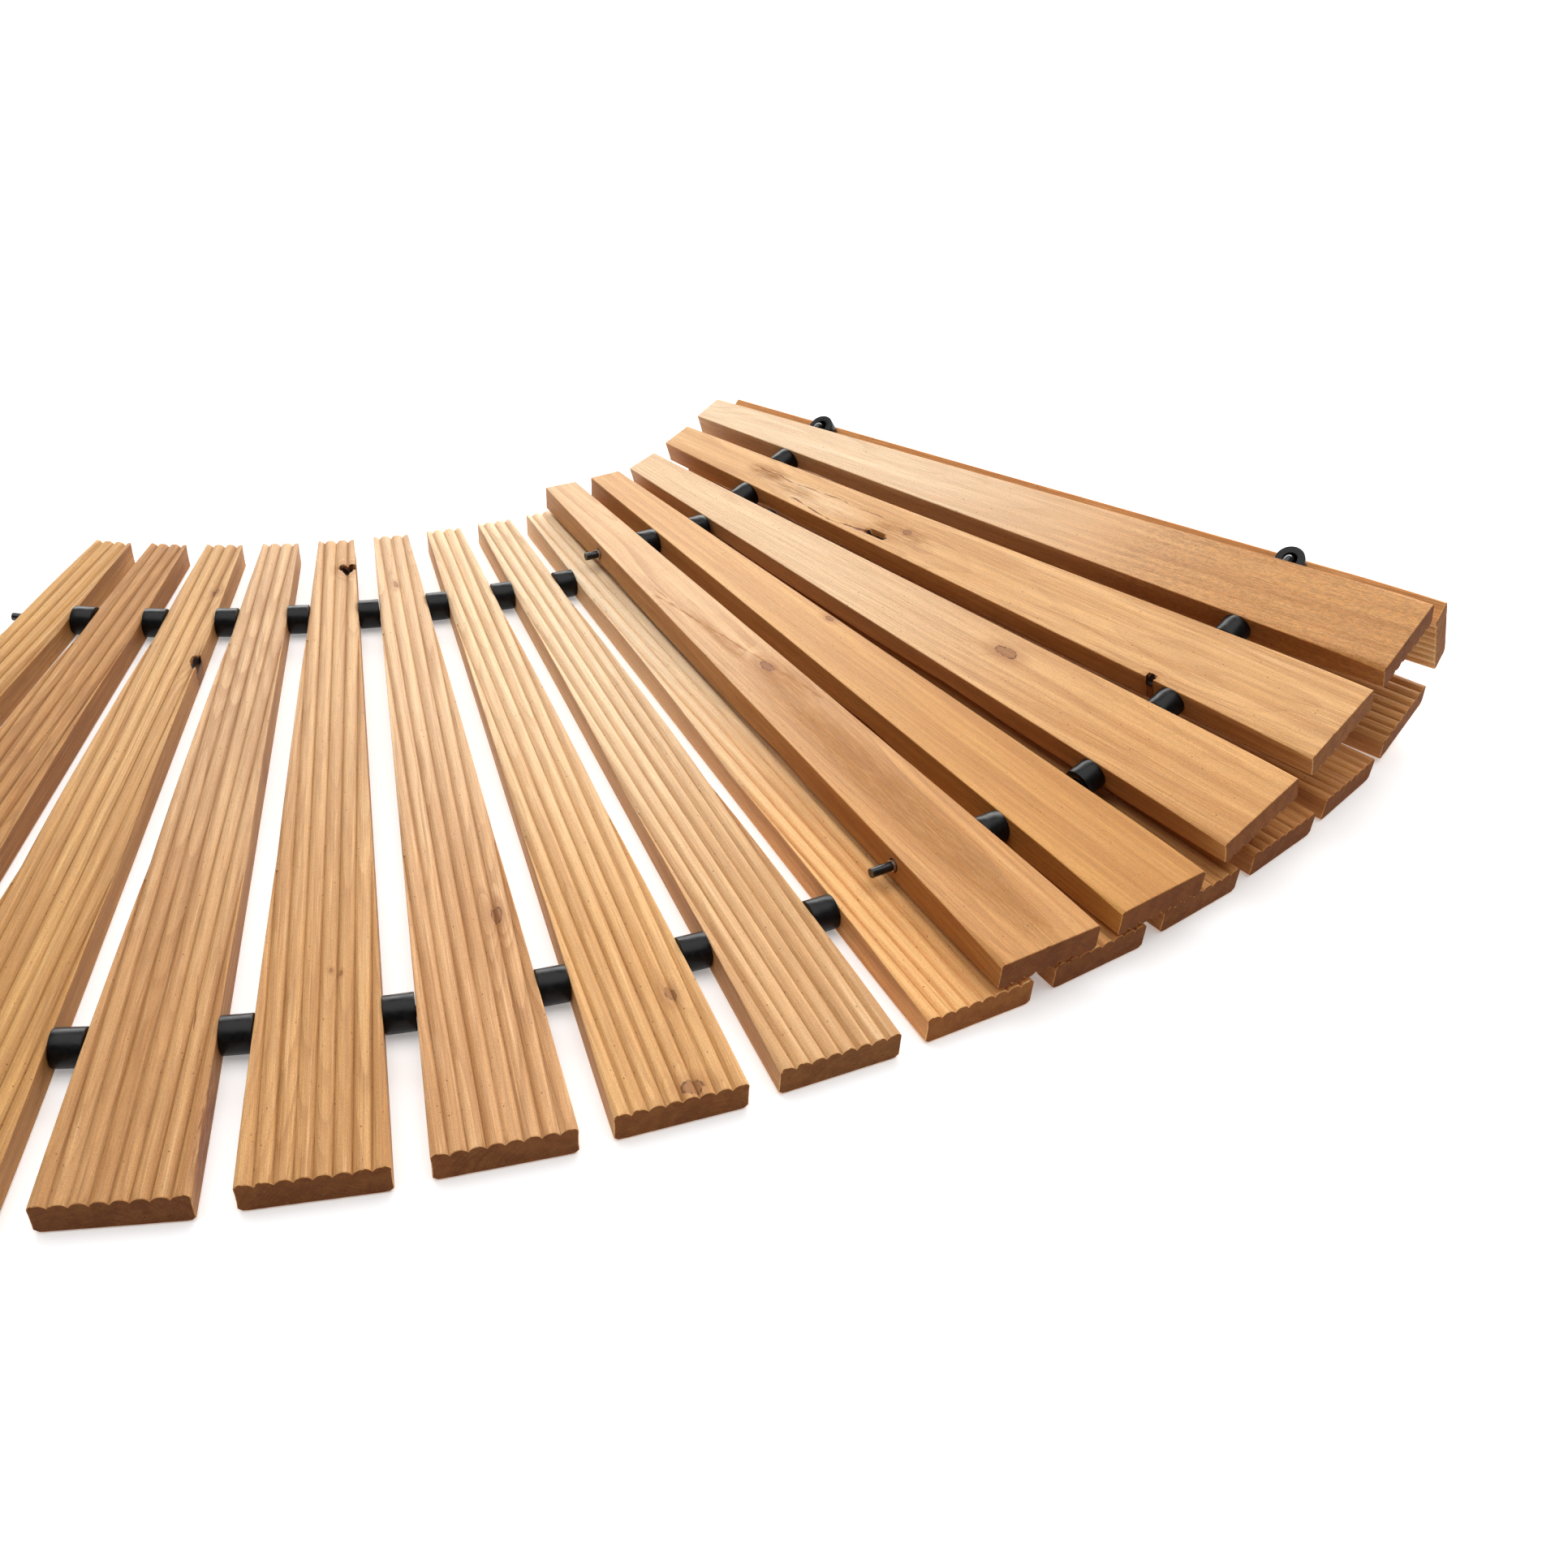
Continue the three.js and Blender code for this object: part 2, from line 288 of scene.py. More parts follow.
def slat_mesh(name, seed, pits, pit_side):
    """A tapered reeded slat as one closed mesh, in millimetres in its own frame."""
    step = PITCH_OF_REEDS / COLUMNS_PER_REED
    verts, faces = [], []

    def vertex(x, y, z):
        verts.append((x, y, z))
        return len(verts) - 1

    def uneven(x, y, size):
        point = Vector((x * 0.16 + seed * 7.3, y * 0.012, seed * 3.1))
        return size * noise.noise(point)

    def face_row(y, half, is_top, stride):
        reach = half - EASED_EDGE
        most = int((reach - 0.4 * step) / (step * stride)) * stride
        ids = {}
        columns = [("left", -reach)] + [(j, j * step) for j in range(-most, most + 1, stride)]
        for key, x in columns + [("right", reach)]:
            if is_top:
                z = TOP - reed_dip(x) + uneven(x, y, TOP_UNEVEN)
                z -= pit_depth(x, y, pits) if pit_side == "top" else 0.0
                z = min(z, TOP)
            else:
                z = -TOP + corner_rise(x) + abs(uneven(x, y + 500, UNDER_UNEVEN))
                z += pit_depth(x, y, pits) if pit_side == "under" else 0.0
            ids[key] = vertex(x, y, z)
        return ids, most

    rings = []
    for y in stations(pits):
        half = half_width(y)
        waver = [uneven(40.0 * side, y * 2.2, SIDE_WAVER) - SIDE_HOLLOW for side in (-1, 1)]
        ring = {}
        ring["top"], ring["top_most"] = face_row(y, half, True, 1)
        ring["under"], ring["under_most"] = face_row(y, half, False, 2)
        for side, key in ((-1, "left"), (1, "right")):
            high_z = verts[ring["top"][key]][2] - EASED_EDGE
            low_z = verts[ring["under"][key]][2] + EASED_EDGE
            x = side * half
            ring[key] = [
                vertex(x + side * min(waver[side > 0] * math.sin(math.pi * t), 0), y, z)
                for t, z in ((t, high_z + (low_z - high_z) * t) for t in (0, 1 / 3, 2 / 3, 1))
            ]
        rings.append(ring)

    def stitch(one, two, most_one, most_two, stride):
        shared = min(most_one, most_two)
        for side, key in ((-1, "left"), (1, "right")):
            run_one = [one[side * j] for j in range(most_one, shared - 1, -stride)]
            run_two = [two[side * j] for j in range(shared, most_two + 1, stride)]
            faces.append([one[key]] + run_one + run_two + [two[key]])
        for j in range(-shared, shared, stride):
            faces.append([one[j], one[j + stride], two[j + stride], two[j]])

    for one, two in zip(rings, rings[1:]):
        stitch(one["top"], two["top"], one["top_most"], two["top_most"], 1)
        stitch(one["under"], two["under"], one["under_most"], two["under_most"], 2)
        for key in ("left", "right"):
            a = [one["top"][key]] + one[key] + [one["under"][key]]
            b = [two["top"][key]] + two[key] + [two["under"][key]]
            faces += [[a[k], a[k + 1], b[k + 1], b[k]] for k in range(len(a) - 1)]

    for ring, side in ((rings[0], -1), (rings[-1], 1)):
        most, under_most = ring["top_most"], ring["under_most"]
        rim = [ring["top"]["left"]] + [ring["top"][j] for j in range(-most, most + 1)]
        rim += [ring["top"]["right"]] + ring["right"] + [ring["under"]["right"]]
        rim += [ring["under"][j] for j in range(under_most, -under_most - 1, -2)]
        rim += [ring["under"]["left"]] + ring["left"][::-1]
        cap = []
        for index in rim:
            x, y, z = verts[index]
            half = abs(verts[ring["right"][0]][0])
            ragged = END_RAGGED * abs(noise.noise(Vector((x * 0.9, z * 0.9, seed * 5.7))))
            narrower, thinner = 1 - EASED_EDGE / half, 1 - EASED_EDGE / TOP
            cap.append(vertex(x * narrower, side * (LENGTH / 2 - ragged), z * thinner))
        count = len(rim)
        for k in range(count):
            faces.append([rim[k], rim[(k + 1) % count], cap[(k + 1) % count], cap[k]])
        faces.append(cap)

    return closed_mesh(name, verts, faces)


def drill_mesh():
    """The two cord bores' cutters, in the slat's frame."""
    cutter = bmesh.new()
    for row in CORD_ROW.values():
        place = Matrix.Translation((0, row * MM, 0)) @ Matrix.Rotation(math.pi / 2, 4, "Y")
        bmesh.ops.create_cone(
            cutter, cap_ends=True, segments=BORE_SIDES, radius1=BORE_RADIUS * MM,
            radius2=BORE_RADIUS * MM, depth=2 * OUTER_WIDTH * MM, matrix=place,
        )
    mesh = bpy.data.meshes.new("drill")
    cutter.to_mesh(mesh)
    cutter.free()
    return mesh


def cut(mesh, cutter):
    """The mesh less the cutter."""
    piece = bpy.data.objects.new("piece", mesh)
    scene.collection.objects.link(piece)
    boolean = piece.modifiers.new("bores", "BOOLEAN")
    boolean.operation = "DIFFERENCE"
    boolean.solver = "MANIFOLD"
    boolean.object = cutter
    bpy.context.view_layer.update()
    done = bpy.data.meshes.new_from_object(
        piece.evaluated_get(bpy.context.evaluated_depsgraph_get())
    )
    bpy.data.objects.remove(piece)
    return done


def mark_faces(mesh):
    """Says which faces are sawn sides and which are end grain, for the material to darken them,
    partly as painted shade.
    """
    count = len(mesh.polygons)
    normals = np.empty(count * 3, np.float32)
    mesh.polygons.foreach_get("normal", normals)
    normals = np.abs(normals.reshape(-1, 3))
    ends = (normals[:, 1] > END_FACING).astype(np.float32)
    sides = ((normals[:, 0] > SIDE_FACING) & (ends < 1)).astype(np.float32)
    for name, value in (("end_grain", ends), ("sawn_side", sides)):
        layer = mesh.attributes.new(name, "FLOAT", "FACE")
        layer.data.foreach_set("value", value)
    mesh.shade_smooth()
    mesh.set_sharp_from_angle(angle=math.radians(SHARP_WOOD_ANGLE))


# ---------------------------------------------------------------- materials
IN_MILLIMETRES = (1000.0, 1000.0, 1000.0)


class Graph:
    """Short calls for building one material's nodes."""

    def __init__(self, name):
        self.material = bpy.data.materials.new(name)
        self.material.use_nodes = True
        self.tree = self.material.node_tree
        self.tree.nodes.clear()

    def add(self, kind, settings=(), **sockets):
        node = self.tree.nodes.new("ShaderNode" + kind)
        for key, value in dict(settings).items():
            setattr(node, key, value)
        for key, value in sockets.items():
            self.set(node.inputs[key.replace("_", " ")], value)
        return node

    def set(self, socket, value):
        if isinstance(value, bpy.types.NodeSocket):
            self.tree.links.new(value, socket)
        elif value is not None:
            socket.default_value = value

    def place(self):
        """Where the point is, in millimetres in the piece's own frame."""
        return self.vector("MULTIPLY", self.add("TexCoord").outputs["Object"], IN_MILLIMETRES)

    def math(self, operation, *values, clamp=False):
        node = self.add("Math", {"operation": operation, "use_clamp": clamp})
        for socket, value in zip(node.inputs, values):
            self.set(socket, value)
        return node.outputs[0]

    def vector(self, operation, a, b):
        node = self.add("VectorMath", {"operation": operation})
        self.set(node.inputs[0], a)
        self.set(node.inputs[1], b)
        return node.outputs["Vector"]

    def noise(self, vector, scale, detail, roughness, shift=(0, 0, 0)):
        place = self.vector("ADD", self.vector("MULTIPLY", vector, scale), shift)
        node = self.add("TexNoise", Vector=place, Scale=1.0, Detail=detail, Roughness=roughness)
        return node.outputs["Fac"]

    def band(self, value, low, high, to_low=0.0, to_high=1.0, smooth=True):
        """The value's range low to high, mapped to to_low to to_high and clamped."""
        kind = "SMOOTHSTEP" if smooth else "LINEAR"
        node = self.add("MapRange", {"interpolation_type": kind}, Value=value)
        limits = {"From Min": low, "From Max": high, "To Min": to_low, "To Max": to_high}
        for key, number in limits.items():
            self.set(node.inputs[key], number)
        return node.outputs[0]

    def mix(self, share, a, b):
        node = self.add("Mix", {"data_type": "RGBA", "blend_type": "MIX"})
        self.set(node.inputs["Factor"], share)
        self.set(node.inputs["A"], a)
        self.set(node.inputs["B"], b)
        return node.outputs["Result"]

    def gain(self, colour, amount):
        return self.vector("MULTIPLY", colour, amount)

    def finish(self, **sockets):
        shader = self.add("BsdfPrincipled")
        for key, value in sockets.items():
            self.set(shader.inputs[key.replace("_", " ")], value)
        self.tree.links.new(shader.outputs[0], self.add("OutputMaterial").inputs["Surface"])
        return self.material


def colour(red, green, blue):
    return (red, green, blue, 1.0)


LIGHT_WOOD = colour(0.735, 0.405, 0.155)
MID_WOOD = colour(0.58, 0.285, 0.094)
CREAM_WOOD = colour(0.88, 0.56, 0.27)
# Pale wood: partly sapwood colour, partly painted sheen at the slats' narrow ends.
PALE_SAPWOOD_AND_SHEEN = colour(0.88, 0.69, 0.47)
RING_WOOD = colour(0.36, 0.138, 0.034)
KNOT_WOOD = colour(0.24, 0.082, 0.022)
FLAME_WOOD = colour(0.36, 0.142, 0.020)
BARK = colour(0.020, 0.009, 0.005)
KNOT_RIM = colour(0.085, 0.026, 0.009)
# Gains for sides and end grain: partly their own darker wood, partly painted shade.
SIDE_GRAIN_AND_PAINTED_SHADE = (0.82, 0.68, 0.53)
END_GRAIN_AND_PAINTED_SHADE = (0.34, 0.205, 0.095)
WHITE = colour(1.0, 1.0, 1.0)

# How far the tree's middle wanders across and down the slat.
WANDER = (26.0, 0.0, 26.0)
# Noise fields of the wood: waves per millimetre across, along and down the slat, detail, roughness.
WANDERING = ((0.018, 0.0032, 0.018), 2.0, 0.5)
RAGGED = ((0.30, 0.14, 0.30), 3.0, 0.55)
RIM_WEAR = ((0.5, 0.3, 0.5), 2.0, 0.5)
UNEVEN_RINGS = ((0.11, 0.0, 0.0), 2.0, 0.6)
FADING = ((0.06, 0.006, 0.06), 2.0, 0.5)
FIBRE = ((1.3, 0.020, 1.3), 5.0, 0.70)
HAIR = ((3.6, 0.045, 3.6), 2.0, 0.6)
BROAD = ((0.16, 0.0035, 0.16), 3.0, 0.55)
GRIT = ((2.0, 1.1, 2.0), 4.0, 0.65)
PALE = ((0.50, 0.012, 0.50), 2.0, 0.55)
DUSKY = ((0.75, 0.008, 0.75), 3.0, 0.6)
CURL = ((0.60, 0.055, 0.60), 5.0, 0.70)
STAIN = ((0.05, 0.006, 0.05), 4.0, 0.6)
SAW = ((0.75, 0.24, 0.75), 5.0, 0.72)
SAW_STROKES = ((0.03, 0.62, 0.03), 3.0, 0.6)
CRACK_WAVER = ((0.0, 0.040, 0.0), 2.0, 0.5)
CRACK_WIDTH = ((0.0, 0.09, 0.0), 2.0, 0.5)
PORES = (0.55, 0.09, 0.55)
PINHOLES = (0.42, 0.30, 0.42)


def ring_distance(g, place, axes, shift, pith, lean):
    """How far each point lies from the tree's middle, which wanders a little along the slat."""
    scale, detail, roughness = WANDERING
    field = g.vector("ADD", g.vector("MULTIPLY", place, scale), shift)
    wander = g.add(
        "TexNoise", Vector=field, Scale=1.0, Detail=detail, Roughness=roughness,
    ).outputs["Color"]
    wander = g.vector("MULTIPLY", g.vector("SUBTRACT", wander, (0.5, 0.5, 0.5)), WANDER)
    moved = g.add("SeparateXYZ", Vector=g.vector("ADD", place, wander))
    along = axes.outputs["Y"]
    across = g.math("ADD", moved.outputs["X"], g.math("MULTIPLY_ADD", along, lean[0], -pith[0]))
    deep = g.math("ADD", moved.outputs["Z"], g.math("MULTIPLY_ADD", along, lean[1], -pith[1]))
    return g.math("SQRT", g.math("ADD", g.math("POWER", across, 2.0), g.math("POWER", deep, 2.0)))


def oval(g, axes, spot):
    """Distance from an oval's middle, 1 at its rim."""
    dx = g.math("DIVIDE", g.math("SUBTRACT", axes.outputs["X"], spot["x"]), spot["rx"])
    dy = g.math("DIVIDE", g.math("SUBTRACT", axes.outputs["Y"], spot["y"]), spot["ry"])
    return g.math("SQRT", g.math("ADD", g.math("POWER", dx, 2.0), g.math("POWER", dy, 2.0)))


def crack_mask(g, axes, crack, seed):
    """A thin wavering line along the slat between two points."""
    (x0, y0), (x1, y1) = crack["ends"]
    slope = (x1 - x0) / (y1 - y0)
    along = axes.outputs["Y"]
    track = g.math("MULTIPLY_ADD", along, slope, x0 - slope * y0)
    thread = g.add("CombineXYZ", Y=along).outputs[0]
    waver = g.noise(thread, *CRACK_WAVER, (seed * 3.9, 0.0, crack["width"]))
    waver = g.math("MULTIPLY", g.math("SUBTRACT", waver, 0.5), 2 * crack["waver"])
    track = g.math("ADD", track, waver)
    off = g.math("ABSOLUTE", g.math("SUBTRACT", axes.outputs["X"], track))
    wide = g.noise(thread, *CRACK_WIDTH, (seed * 1.9, 5.0, 0.0))
    off = g.math("DIVIDE", off, g.band(wide, 0.35, 0.65, 0.12 * crack["width"], crack["width"]))
    line = g.band(off, 0.5, 1.1, 1.0, 0.0)
    low, high = sorted((y0, y1))
    begun, over = g.band(along, low, low + 6), g.band(along, high - 6, high, 1.0, 0.0)
    return g.math("MULTIPLY", line, g.math("MULTIPLY", begun, over))


def wood(name, seed, tone, pith, lean, ring, contrast, knots=(), figures=(), cracks=(),
         streaks=(), calm=0.0, rough=0.0, stain=0.0, sheen_and_sapwood=0.0, turned=False):
    """Sawn softwood, all in millimetres in the slat's own frame.

    pith is where the tree's middle lay, lean its drift along the slat, ring the rings' spacing and
    contrast their strength. calm fades the grain, rough is the saw's tearing at the wide end, and
    stain is a share. sapwood is the share by which the narrow end pales, in part the wood's own
    colour and in part painted sheen, and turned says that the slat lies with its underside up.
    """
    g = Graph(name)
    lively = 1.0 - calm

    def untoned(shade):
        """The shade that the slat's tone, which comes last, turns into the one asked for."""
        return colour(*(share / part for share, part in zip(shade, tone)))

    place = g.place()
    shift = (seed * 13.7, seed * 5.3, seed * 9.1)
    axes = g.add("SeparateXYZ", Vector=place)
    along, height = axes.outputs["Y"], axes.outputs["Z"]
    away = ring_distance(g, place, axes, shift, pith, lean)

    masks = {"core": [], "rim": [], "glow": [], "hole": []}
    ragged = g.noise(place, *RAGGED, shift)
    rim_wear = g.band(g.noise(place, *RIM_WEAR, (seed, 4.0, 2.0)), 0.35, 0.6)
    for knot in knots:
        d = oval(g, axes, knot)
        push = knot.get("push", 1.0) * ring
        away = g.math("ADD", away, g.math("MULTIPLY", g.band(d, 0.6, 5.0, 1.0, 0.0), push))
        d = g.math("ADD", d, g.band(ragged, 0.3, 0.7, -0.16, 0.16, smooth=False))
        masks["core"].append(g.band(d, 0.9, 1.08, 1.0, 0.0))
        rim = g.math("MULTIPLY", g.band(d, 0.78, 0.98), g.band(d, 0.98, 1.2, 1.0, 0.0))
        masks["rim"].append(g.math("MULTIPLY", rim, rim_wear))
        masks["glow"].append(g.band(d, 1.0, 3.2, 1.0, 0.0))
        if knot.get("hole"):
            upper = g.band(height, *((1.0, -3.0) if turned else (-1.0, 3.0)))
            masks["hole"].append(g.math("MULTIPLY", g.band(d, 0.95, 1.05, 1.0, 0.0), upper))

    thread = g.add("CombineXYZ", X=away).outputs[0]
    uneven = g.noise(thread, *UNEVEN_RINGS, shift)
    phase = g.math("ADD", g.math("DIVIDE", away, ring), g.math("MULTIPLY", uneven, 4.5))
    turn = g.math("FRACT", phase)
    late = g.math("MULTIPLY", g.band(turn, 0.35, 0.92), g.band(turn, 0.94, 1.0, 1.0, 0.0))
    fading = g.noise(place, *FADING, (seed * 3.3, seed * 7.7, 1.0))
    late = g.math("MULTIPLY", late, g.band(fading, 0.3, 0.65, 0.2, 1.0))

    fibre = g.noise(place, *FIBRE, shift)
    hair = g.noise(place, *HAIR, shift)
    broad = g.noise(place, *BROAD, (seed * 2.1, seed * 1.7, 4.0))
    grit = g.noise(place, *GRIT, shift)
    pale = g.noise(place, *PALE, (seed * 4.1, 3.0, seed * 2.3))
    dusky = g.noise(place, *DUSKY, (seed * 6.1, 9.0, seed * 1.3))

    tint = g.mix(g.band(broad, 0.34, 0.66), LIGHT_WOOD, MID_WOOD)
    # The slat pales towards its narrow end: in part its own sapwood, in part painted sheen where
    # the back light grazes the far ends.
    if sheen_and_sapwood:
        inward = g.math("MULTIPLY", g.band(along, -200.0, 120.0), g.band(broad, 0.2, 0.8, 1.0, 0.7))
        tint = g.mix(g.math("MULTIPLY", inward, sheen_and_sapwood), tint, untoned(PALE_SAPWOOD_AND_SHEEN))
    tint = g.mix(g.math("MULTIPLY", late, contrast * lively, clamp=True), tint, RING_WOOD)
    tint = g.mix(g.math("MULTIPLY", g.band(pale, 0.57, 0.70), 0.42 * lively), tint, CREAM_WOOD)
    tint = g.mix(g.math("MULTIPLY", g.band(dusky, 0.58, 0.72), 0.38 * lively), tint, RING_WOOD)
    if figures:
        curl = g.noise(place, *CURL, (seed * 8.3, 7.0, 1.0))
        for patch in figures:
            inside = g.band(oval(g, axes, patch), 0.35, 1.0, 1.0, 0.0)
            curled = g.band(curl, 0.40, 0.56, patch.get("least", 0.15), 1.0)
            share = g.math("MULTIPLY", inside, curled)
            shade = untoned(patch.get("colour", FLAME_WOOD))
            tint = g.mix(g.math("MULTIPLY", share, patch["amount"]), tint, shade)
    for streak in streaks:
        line = crack_mask(g, axes, streak, seed)
        tint = g.mix(g.math("MULTIPLY", line, streak["amount"]), tint, untoned(FLAME_WOOD))
    if stain:
        patch = g.noise(place, *STAIN, (seed * 9.9, 2.0, 8.0))
        tint = g.mix(g.math("MULTIPLY", g.band(patch, 0.50, 0.66), stain), tint, RING_WOOD)
    depth = 0.4 + 0.6 * lively
    fibrous = g.band(fibre, 0.3, 0.72, 1.0 - 0.20 * depth, 1.0 + 0.15 * depth, smooth=False)
    tint = g.gain(tint, fibrous)
    tint = g.gain(tint, g.band(hair, 0.3, 0.7, 0.90, 1.09, smooth=False))
    tint = g.gain(tint, g.band(grit, 0.32, 0.68, 0.84, 1.13, smooth=False))

    # Resin pores, and pinholes that gather in the grooves between the reeds.
    groove = g.math(
        "MULTIPLY",
        g.band(height, TOP - REED_DEPTH, TOP - REED_DEPTH * 0.35, 1.0, 0.0),
        g.band(height, TOP - REED_DEPTH * 1.6, TOP - REED_DEPTH * 1.3),
    )
    pores = g.add("TexVoronoi", Vector=g.vector("MULTIPLY", place, PORES), Scale=1.0)
    rare = g.add("SeparateColor", Color=pores.outputs["Color"]).outputs["Red"]
    pore = g.band(pores.outputs["Distance"], 0.05, 0.13, 1.0, 0.0)
    pore = g.math("MULTIPLY", pore, g.band(rare, 0.80, 0.84))
    dots = g.add("TexVoronoi", Vector=g.vector("MULTIPLY", place, PINHOLES), Scale=1.0)
    rare = g.add("SeparateColor", Color=dots.outputs["Color"]).outputs["Green"]
    rare = g.math("GREATER_THAN", g.math("MULTIPLY_ADD", groove, 0.22, rare), 0.93)
    dot = g.math("MULTIPLY", g.band(dots.outputs["Distance"], 0.10, 0.20, 1.0, 0.0), rare)
    tint = g.mix(g.math("MULTIPLY", pore, 0.55), tint, RING_WOOD)
    tint = g.mix(g.math("MULTIPLY", dot, 0.75), tint, KNOT_WOOD)

    def strongest(kind):
        found = masks[kind][0]
        for mask in masks[kind][1:]:
            found = g.math("MAXIMUM", found, mask)
        return found

    if knots:
        tint = g.mix(g.math("MULTIPLY", strongest("glow"), 0.40), tint, RING_WOOD)
        tint = g.mix(g.math("MULTIPLY", strongest("core"), 0.6), tint, KNOT_WOOD)
        tint = g.mix(g.math("MULTIPLY", strongest("rim"), 0.85), tint, KNOT_RIM)
    if masks["hole"]:
        tint = g.mix(strongest("hole"), tint, BARK)
    gape = None
    for crack in cracks:
        line = crack_mask(g, axes, crack, seed)
        tint = g.mix(g.math("MULTIPLY", line, crack["amount"]), tint, KNOT_WOOD)
        gape = line if gape is None else g.math("MAXIMUM", gape, line)

    # Sides and end grain are darker and redder than the faces: partly the wood's own colour there,
    # partly painted shade of faces turned from the lamps.
    side = g.add("Attribute", {"attribute_name": "sawn_side"}).outputs["Fac"]
    end = g.add("Attribute", {"attribute_name": "end_grain"}).outputs["Fac"]
    face_on = g.math("SUBTRACT", 1.0, g.math("MAXIMUM", side, end))
    # Painted shade: the faces are darkened in the grooves between the reeds.
    tint = g.mix(g.math("MULTIPLY", g.math("MULTIPLY", groove, face_on), 0.18), tint, RING_WOOD)
    tint = g.gain(tint, (*tone,))
    # Partly painted shade: the sides and the end grain are darkened.
    tint = g.mix(side, tint, g.gain(tint, SIDE_GRAIN_AND_PAINTED_SHADE))
    tint = g.mix(end, tint, g.gain(tint, END_GRAIN_AND_PAINTED_SHADE))

    saw = g.noise(place, *SAW, shift)
    relief = g.math("ADD", g.math("MULTIPLY", fibre, 0.9), g.math("MULTIPLY", late, 0.30))
    relief = g.math("ADD", relief, g.math("MULTIPLY", grit, 0.6))
    relief = g.math("ADD", relief, g.math("MULTIPLY", hair, 0.35))
    relief = g.math("SUBTRACT", relief, g.math("MULTIPLY", g.math("MAXIMUM", pore, dot), 0.9))
    if gape is not None:
        relief = g.math("SUBTRACT", relief, g.math("MULTIPLY", gape, 2.5))
    if rough:
        wide = g.math("MULTIPLY", g.band(along, -60.0, -120.0), rough)
        strokes = g.noise(place, *SAW_STROKES, shift)
        relief = g.math("ADD", relief, g.math("MULTIPLY", g.math("MULTIPLY", saw, wide), 2.6))
        relief = g.math("ADD", relief, g.math("MULTIPLY", g.math("MULTIPLY", strokes, wide), 1.5))
        worn = g.band(saw, 0.42, 0.60, 0.04, -0.20)
        tint = g.gain(tint, g.math("MULTIPLY_ADD", wide, worn, 1.0))
    bump = g.add("Bump", Strength=0.8, Distance=0.00045, Height=relief)
    dull = g.band(fibre, 0.3, 0.7, 0.50, 0.64, smooth=False)
    return g.finish(
        Base_Color=tint,
        Roughness=g.math("MULTIPLY_ADD", end, 0.25, dull),
        Specular_IOR_Level=0.22,
        Subsurface_Weight=0.35 if turned else 0.6,
        Subsurface_Radius=(1.0, 0.66, 0.42),
        Subsurface_Scale=0.0020 if turned else 0.0036,
        Normal=bump.outputs[0],
    )


def tube_plastic():
    """Satin black extruded tube, faintly drawn along its length and a little scuffed."""
    g = Graph("tube_black")
    place = g.place()
    drawn = g.noise(place, (0.12, 2.4, 2.4), 3.0, 0.6)
    cloudy = g.noise(place, (0.35, 0.35, 0.35), 3.0, 0.6)
    dark, light = colour(0.0025, 0.0024, 0.0024), colour(0.006, 0.0056, 0.0056)
    tint = g.mix(g.band(cloudy, 0.35, 0.7), dark, light)
    bump = g.add("Bump", Strength=0.25, Distance=0.0001, Height=drawn)
    return g.finish(
        Base_Color=tint, Roughness=g.band(cloudy, 0.3, 0.7, 0.28, 0.40), Specular_IOR_Level=0.2,
        Normal=bump.outputs[0],
    )


def cord_plastic():
    """Smooth black cord sheath."""
    g = Graph("cord_black")
    place = g.place()
    cloudy = g.noise(place, (0.8, 0.8, 0.8), 3.0, 0.6)
    dark, light = colour(0.004, 0.004, 0.004), colour(0.009, 0.0085, 0.0085)
    tint = g.mix(g.band(cloudy, 0.35, 0.7), dark, light)
    bump = g.add("Bump", Strength=0.2, Distance=0.0001, Height=cloudy)
    return g.finish(
        Base_Color=tint, Roughness=g.band(cloudy, 0.3, 0.7, 0.22, 0.36), Normal=bump.outputs[0],
    )


def crimp_metal():
    g = Graph("crimp_metal")
    place = g.place()
    scratched = g.noise(place, (1.2, 4.0, 4.0), 4.0, 0.7)
    dark, light = colour(0.52, 0.51, 0.49), colour(0.72, 0.71, 0.69)
    tint = g.mix(g.band(scratched, 0.3, 0.7), dark, light)
    bump = g.add("Bump", Strength=0.3, Distance=0.00008, Height=scratched)
    return g.finish(
        Base_Color=tint, Metallic=1.0, Roughness=g.band(scratched, 0.3, 0.7, 0.2, 0.4),
        Normal=bump.outputs[0],
    )


FLOOR_GLOW = 0.28


def pale_floor():
    g = Graph("floor_pale")
    place = g.add("TexCoord").outputs["Object"]
    mottle = g.noise(place, (3.0, 3.0, 3.0), 2.0, 0.5)
    tint = g.mix(mottle, colour(0.86, 0.86, 0.86), colour(0.88, 0.88, 0.88))
    return g.finish(
        Base_Color=tint, Roughness=0.9, Emission_Color=WHITE, Emission_Strength=FLOOR_GLOW,
    )


# ---------------------------------------------------------------- camera, light and floor
# The camera that was fitted to the photograph, in metres and degrees.
CAMERA_PLACE = (0.0817, -0.7375, 0.5229)
CAMERA_AZIMUTH, CAMERA_DOWN, CAMERA_ROLL = -2.04, 36.54, 4.26
CAMERA_LENS = 34.36
WORLD_STRENGTH = 0.14
FLOOR_REACH = 20.0
FLOOR_DROP = 0.0006


def aim(obj, place, azimuth, down, roll=0.0):
    """Azimuth is counted from +Y towards +X, and down below the horizon, in degrees."""
    a, d, turn = math.radians(azimuth), math.radians(down), math.radians(roll)
    forward = Vector((math.sin(a) * math.cos(d), math.cos(a) * math.cos(d), -math.sin(d)))
    level = Vector((math.cos(a), -math.sin(a), 0.0))
    rise = level.cross(forward)
    right = level * math.cos(turn) + rise * math.sin(turn)
    up = rise * math.cos(turn) - level * math.sin(turn)
    obj.matrix_world = frame_of(right, up, -forward, Vector(place))


